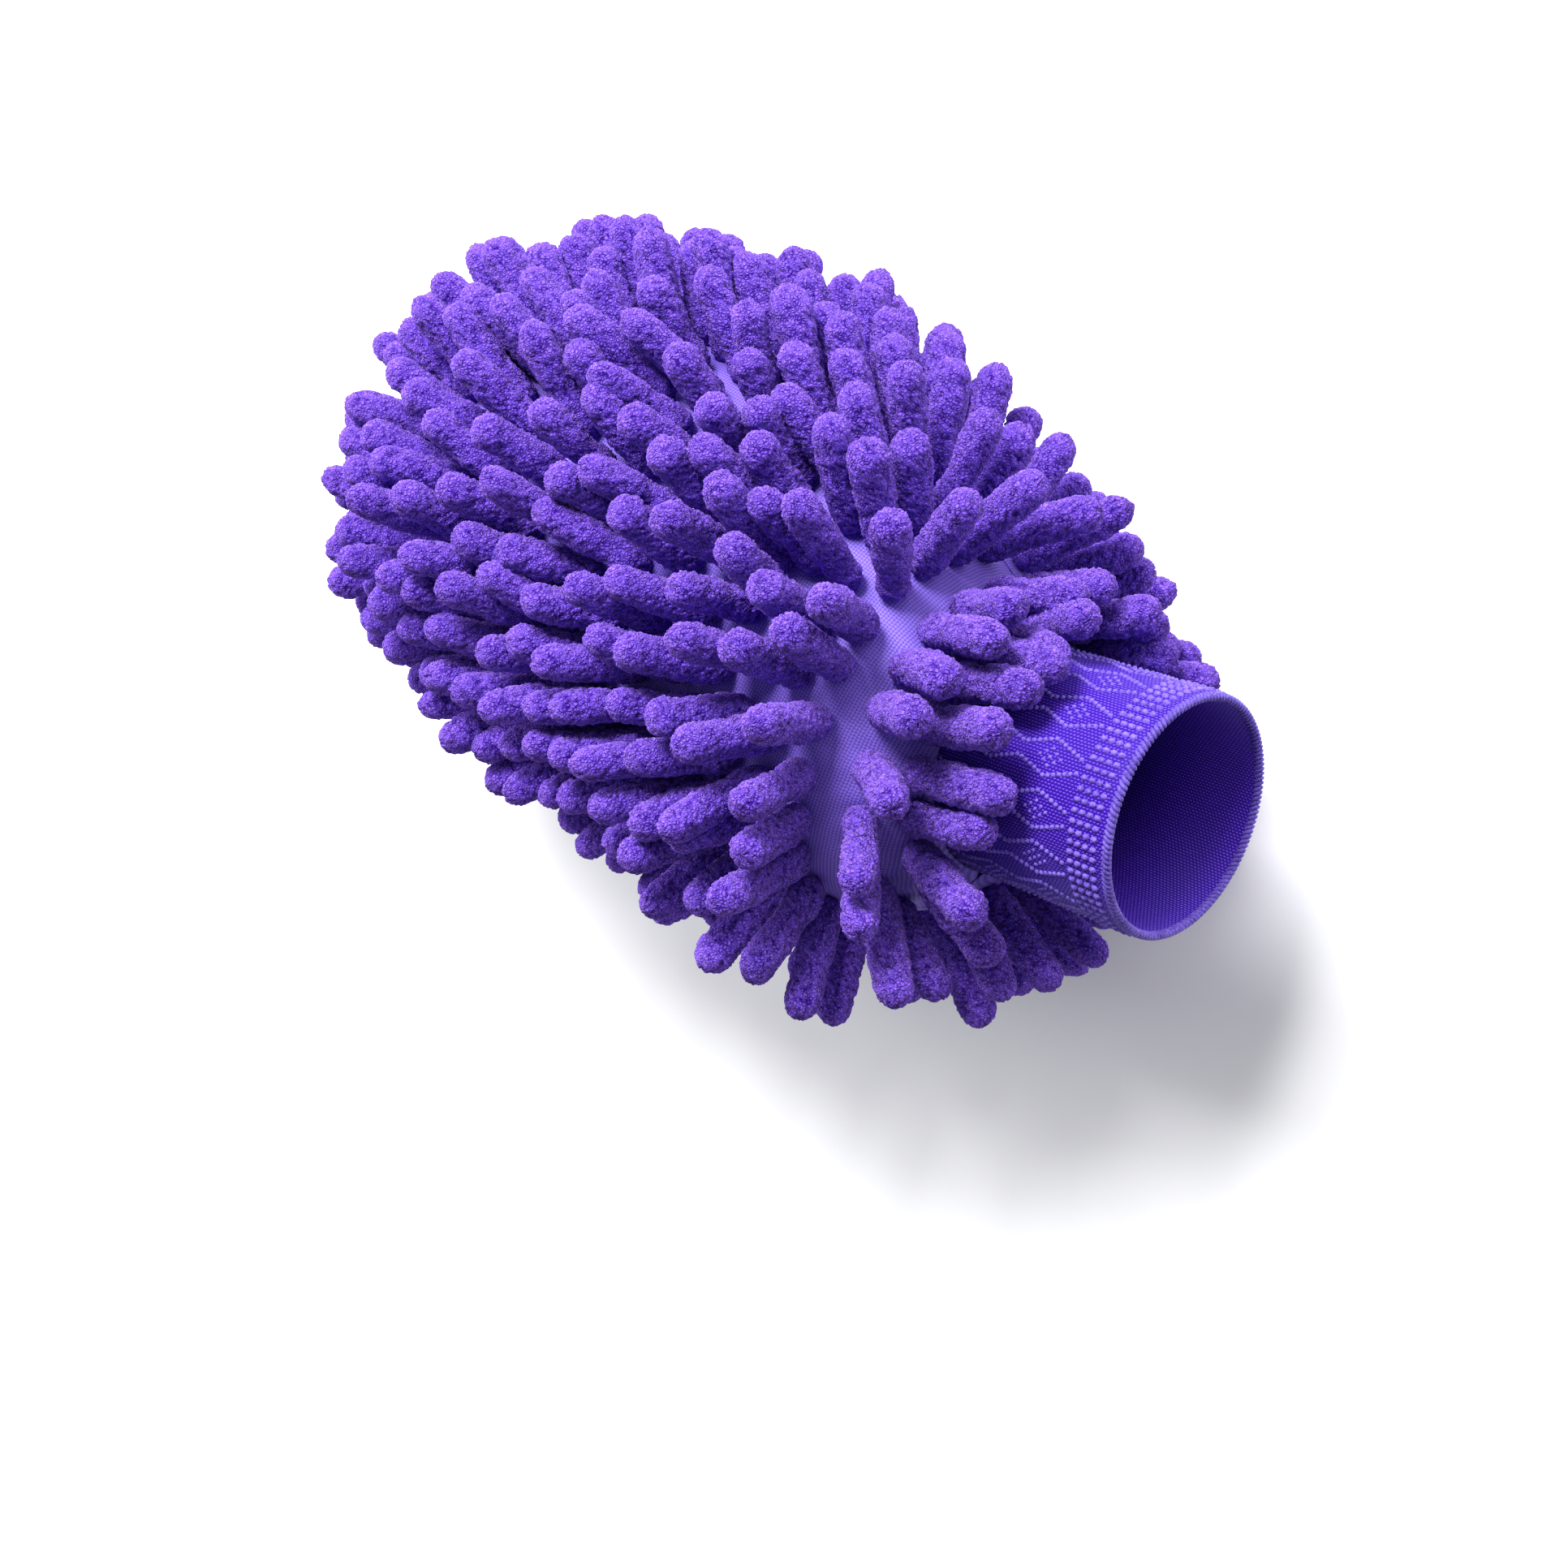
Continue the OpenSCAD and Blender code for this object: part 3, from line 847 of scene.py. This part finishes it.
class MITT_OT_inner_seams(Operator):
    """Give the seams inside the mitt their overlocked thread"""
    bl_idname = "mitt.inner_seams"
    bl_label = "Inner Seams"

    def execute(self, context):
        settings = context.scene.mitt_cuff
        finish = thread_finish("seam_thread", blend(settings.ground, settings.bead, 0.55), 0.7 * MM)
        for node in ("side_seam_overlock", "cuff_join_seam", "cuff_attach_seam"):
            dress(node, finish)
        return {"FINISHED"}


class MITT_OT_loose_threads(Operator):
    """Give the loose ends at the neck seam their pale thread"""
    bl_idname = "mitt.loose_threads"
    bl_label = "Loose Threads"

    def execute(self, context):
        pale = (0.62, 0.55, 0.86)
        dress("loose_thread_ends", thread_finish("loose_thread", pale, 0.3 * MM))
        return {"FINISHED"}


# ---- Stage -----------------------------------------------------------------------------------

# Each light's name, direction from the mitt, size in metres and power in watts
LIGHTS = (("key", (0.56, 0.26, 0.84), 0.35, 16.0), ("fill", (0.92, -0.35, 0.40), 0.9, 5.0),
          ("rim", (-0.1, 0.95, 0.30), 0.5, 11.0))
LIGHT_DISTANCE = 0.9
FLOOR_HALF = 6
SKY, SKY_STRENGTH = (0.95, 0.97, 1.0), 0.36


class MITT_OT_stage(Operator):
    """Set the floor, the soft studio lights and the camera"""
    bl_idname = "mitt.stage"
    bl_label = "Stage"

    def execute(self, context):
        settings = context.scene.mitt_stage
        bm = bmesh.new()
        bmesh.ops.create_grid(bm, x_segments=1, y_segments=1, size=FLOOR_HALF)
        floor = add_object("floor", mesh_from("floor", bm))
        paper = Finish("floor", Roughness=0.9, Specular_IOR_Level=0.1)
        tone = paper.noise(paper.place(), 3.0, 2.0) * 0.03
        base = opaque(settings.floor)
        paper.colour(paper.mix(tone, base, opaque(blend(settings.floor, (1, 1, 1), 0.5))))
        floor.data.materials.append(paper.material)
        lo, hi = (np.array(corner) for corner in CAD_BOX)
        centre = Vector((lo + hi) / 2)
        a, e = settings.azimuth, settings.elevation
        back = Vector((math.sin(a) * math.cos(e), -math.cos(a) * math.cos(e), math.sin(e)))
        camera = bpy.data.objects.new("camera", bpy.data.cameras.new("camera"))
        context.scene.collection.objects.link(camera)
        camera.data.lens = settings.lens
        camera.data.sensor_width = 36
        camera.data.clip_start, camera.data.clip_end = 0.01, 50
        camera.location = centre + Vector(settings.aim) + back * settings.distance
        camera.rotation_mode = "QUATERNION"
        level = (-back).to_track_quat("-Z", "Y")
        camera.rotation_quaternion = level @ Matrix.Rotation(-settings.roll, 3, "Z").to_quaternion()
        context.scene.camera = camera
        for name, towards, size, power in LIGHTS:
            light = bpy.data.objects.new(name, bpy.data.lights.new(name, "AREA"))
            context.scene.collection.objects.link(light)
            light.data.size = size
            light.data.energy = power
            direction = Vector(towards).normalized()
            light.location = centre + direction * LIGHT_DISTANCE
            light.rotation_mode = "QUATERNION"
            light.rotation_quaternion = (-direction).to_track_quat("-Z", "Y")
        world = bpy.data.worlds.new("studio")
        world.use_nodes = True
        background = world.node_tree.nodes["Background"]
        background.inputs["Color"].default_value = opaque(SKY)
        background.inputs["Strength"].default_value = SKY_STRENGTH
        context.scene.world = world
        context.scene.view_settings.view_transform = "Standard"
        return {"FINISHED"}


class MITT_PT_panel(Panel):
    """Lists what the mitt is made of"""
    bl_idname = "MITT_PT_panel"
    bl_label = "Wash Mitt"
    bl_space_type = "VIEW_3D"
    bl_region_type = "UI"
    bl_category = "Wash Mitt"

    def draw(self, context):
        for operator in OPERATORS:
            self.layout.operator(operator.bl_idname)
        for name in SETTINGS:
            group = getattr(context.scene, name)
            for prop in group.bl_rna.properties:
                if prop.identifier not in {"rna_type", "name"}:
                    self.layout.prop(group, prop.identifier)


SETTINGS = {"mitt_tufts": TuftSettings, "mitt_cloth": ClothSettings, "mitt_cuff": CuffSettings,
            "mitt_stage": StageSettings}
OPERATORS = (MITT_OT_stage, MITT_OT_chenille_rows, MITT_OT_cloth_panels, MITT_OT_cuff_band,
             MITT_OT_cuff_edge, MITT_OT_inner_seams, MITT_OT_loose_threads)
CLASSES = (*SETTINGS.values(), *OPERATORS, MITT_PT_panel)


def register():
    for cls in CLASSES:
        bpy.utils.register_class(cls)
    for name, group in SETTINGS.items():
        setattr(bpy.types.Scene, name, PointerProperty(type=group))


def unregister():
    for name in SETTINGS:
        delattr(bpy.types.Scene, name)
    for cls in reversed(CLASSES):
        bpy.utils.unregister_class(cls)


def main():
    register()
    bpy.ops.mitt.stage()
    bpy.ops.mitt.chenille_rows()
    bpy.ops.mitt.cloth_panels()
    bpy.ops.mitt.cuff_band()
    bpy.ops.mitt.cuff_edge()
    bpy.ops.mitt.inner_seams()
    bpy.ops.mitt.loose_threads()


if __name__ == "__main__":
    main()
